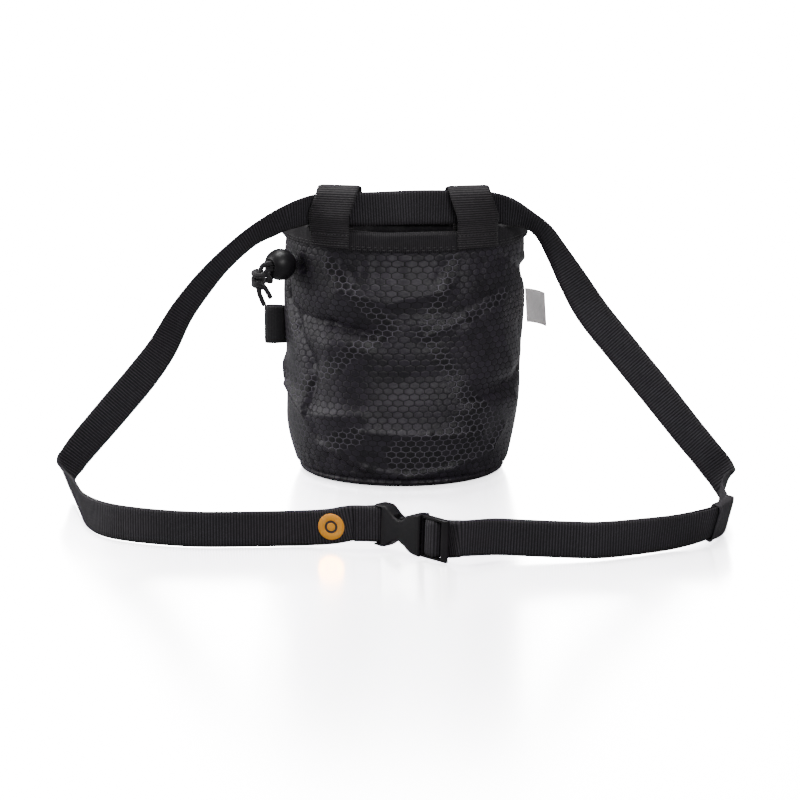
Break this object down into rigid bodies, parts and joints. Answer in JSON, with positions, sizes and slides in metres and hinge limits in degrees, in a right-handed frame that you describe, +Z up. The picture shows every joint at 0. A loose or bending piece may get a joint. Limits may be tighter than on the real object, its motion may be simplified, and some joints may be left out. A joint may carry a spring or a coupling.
{
  "type": "climbing chalk bag",
  "caption": "Soft round chalk bag with a stiffened mouth, webbing belt loops, brush loop and drawcord, on a webbing waist belt closed by a side-release buckle.",
  "frame": {"origin": "centre of the bag's base, on the floor it stands on", "axes": "+Z up; +X to the right along the belt's longest spread; +Y from the belt's buckle towards the bag"},
  "size_m": [0.3943, 0.318, 0.1782],
  "materials": {
    "printed_cloth": "woven cloth with a printed pattern of small cells",
    "webbing": "ribbed woven webbing",
    "elastic": "knitted elastic",
    "moulded_plastic": "satin moulded plastic",
    "cord": "braided cord",
    "white_tape": "woven satin tape",
    "orange_thread": "embroidered thread"
  },
  "bodies": {
    "root": {"shell": "printed_cloth", "base_panel": "printed_cloth", "rim_band": "webbing", "belt_loop_left": "webbing", "belt_loop_right": "webbing", "waist_belt": "webbing", "belt_keeper": "elastic", "belt_mark": "orange_thread", "buckle_socket": "moulded_plastic", "buckle_plug": "moulded_plastic", "brush_loop": "elastic", "side_label": "white_tape", "cord_lock_bead": "moulded_plastic", "cord_knot": "cord", "drawcord_upper": "cord", "drawcord_lower": "cord", "cord_end_long": "cord", "cord_end_short": "cord"}
  },
  "joints": []
}
